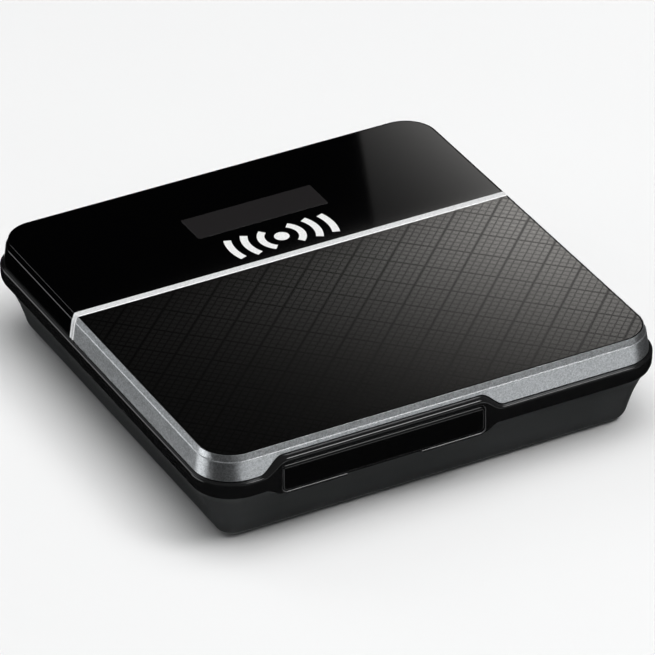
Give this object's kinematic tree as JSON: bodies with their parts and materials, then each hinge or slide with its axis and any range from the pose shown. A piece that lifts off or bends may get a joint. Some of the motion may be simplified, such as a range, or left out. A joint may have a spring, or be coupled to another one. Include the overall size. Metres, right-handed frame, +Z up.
{
  "type": "mobile hotspot",
  "caption": "Square pocket wireless router with a gloss rear band, display window, textured lid panel in a metallic frame, hinged port cover, side keys and a lift-off battery cover.",
  "frame": {"origin": "centre of the base outline, at the underside of the rubber feet", "axes": "+X to the right, +Y to the rear (away from the port cover), +Z up"},
  "size_m": [0.08, 0.08, 0.0171],
  "materials": {
    "base_plastic": "fine satin texture",
    "belt_gloss": "high gloss",
    "flap_gloss": "high gloss",
    "silver_paint": "metallic silver paint",
    "trim_bright": "bright plated",
    "lid_gloss": "piano-black gloss",
    "window_dark": "smoked",
    "panel_gloss": "gloss over a diagonal lattice",
    "pin_steel": "polished",
    "battery_can": "wrapped aluminium can",
    "pad_gold": "gold plated",
    "foot_rubber": "matte",
    "screw_steel": "zinc plated",
    "tray_plastic": "moulded",
    "board_green": "solder mask",
    "shield_tin": "tinned",
    "socket_steel": "plated",
    "display_glass": "glass and driver board",
    "flex_amber": "polyimide",
    "connector_black": "moulded",
    "key_gloss": "gloss",
    "plunger_cream": "moulded",
    "antenna_copper": "copper foil"
  },
  "bodies": {
    "case": {"bottom_case": "base_plastic", "belt_frame": "belt_gloss", "silver_frame": "silver_paint", "trim_strip": "trim_bright", "top_cover": "lid_gloss", "display_window": "window_dark", "texture_panel": "panel_gloss", "hinge_pin": "pin_steel", "feet": "foot_rubber", "case_screws": "screw_steel", "inner_tray": "tray_plastic", "main_board": "board_green", "board_screws": "screw_steel", "modem_shield": "shield_tin", "wifi_shield": "shield_tin", "usb_socket": "socket_steel", "sim_socket": "socket_steel", "oled_module": "display_glass", "display_flex": "flex_amber", "contact_block": "connector_black", "contact_springs": "pad_gold", "power_switch": "connector_black", "wps_switch": "connector_black", "antenna_main": "antenna_copper", "antenna_aux": "antenna_copper"},
    "port_flap": {"port_cover": "flap_gloss"},
    "battery_door": {"battery_cover": "base_plastic"},
    "battery_pack": {"battery": "battery_can", "battery_pads": "pad_gold"},
    "power_key": {"power_button": "key_gloss", "power_plunger": "plunger_cream"},
    "wps_key": {"wps_button": "key_gloss", "wps_plunger": "plunger_cream"}
  },
  "joints": [
    {"name": "port_flap_hinge", "type": "hinge", "parent": "case", "child": "port_flap", "pos_m": [-0.0103, -0.0393, 0.01315], "axis": [-1, 0, 0], "range_deg": [0, 85]},
    {"name": "battery_lift", "type": "slide", "parent": "case", "child": "battery_pack", "axis": [0, 0, -1], "range_m": [0, 0.018]},
    {"name": "battery_door_lift", "type": "slide", "parent": "case", "child": "battery_door", "axis": [0, 0, -1], "range_m": [0, 0.0307]},
    {"name": "power_key_press", "type": "slide", "parent": "case", "child": "power_key", "axis": [-1, 0, 0], "range_m": [0, 0.0003], "stiffness_N_per_m": 2000},
    {"name": "wps_key_press", "type": "slide", "parent": "case", "child": "wps_key", "axis": [-1, 0, 0], "range_m": [0, 0.0003], "stiffness_N_per_m": 2000}
  ],
  "couplings": [
    {"joint": "battery_door_lift", "follows": "battery_lift", "ratio": 1.7}
  ]
}
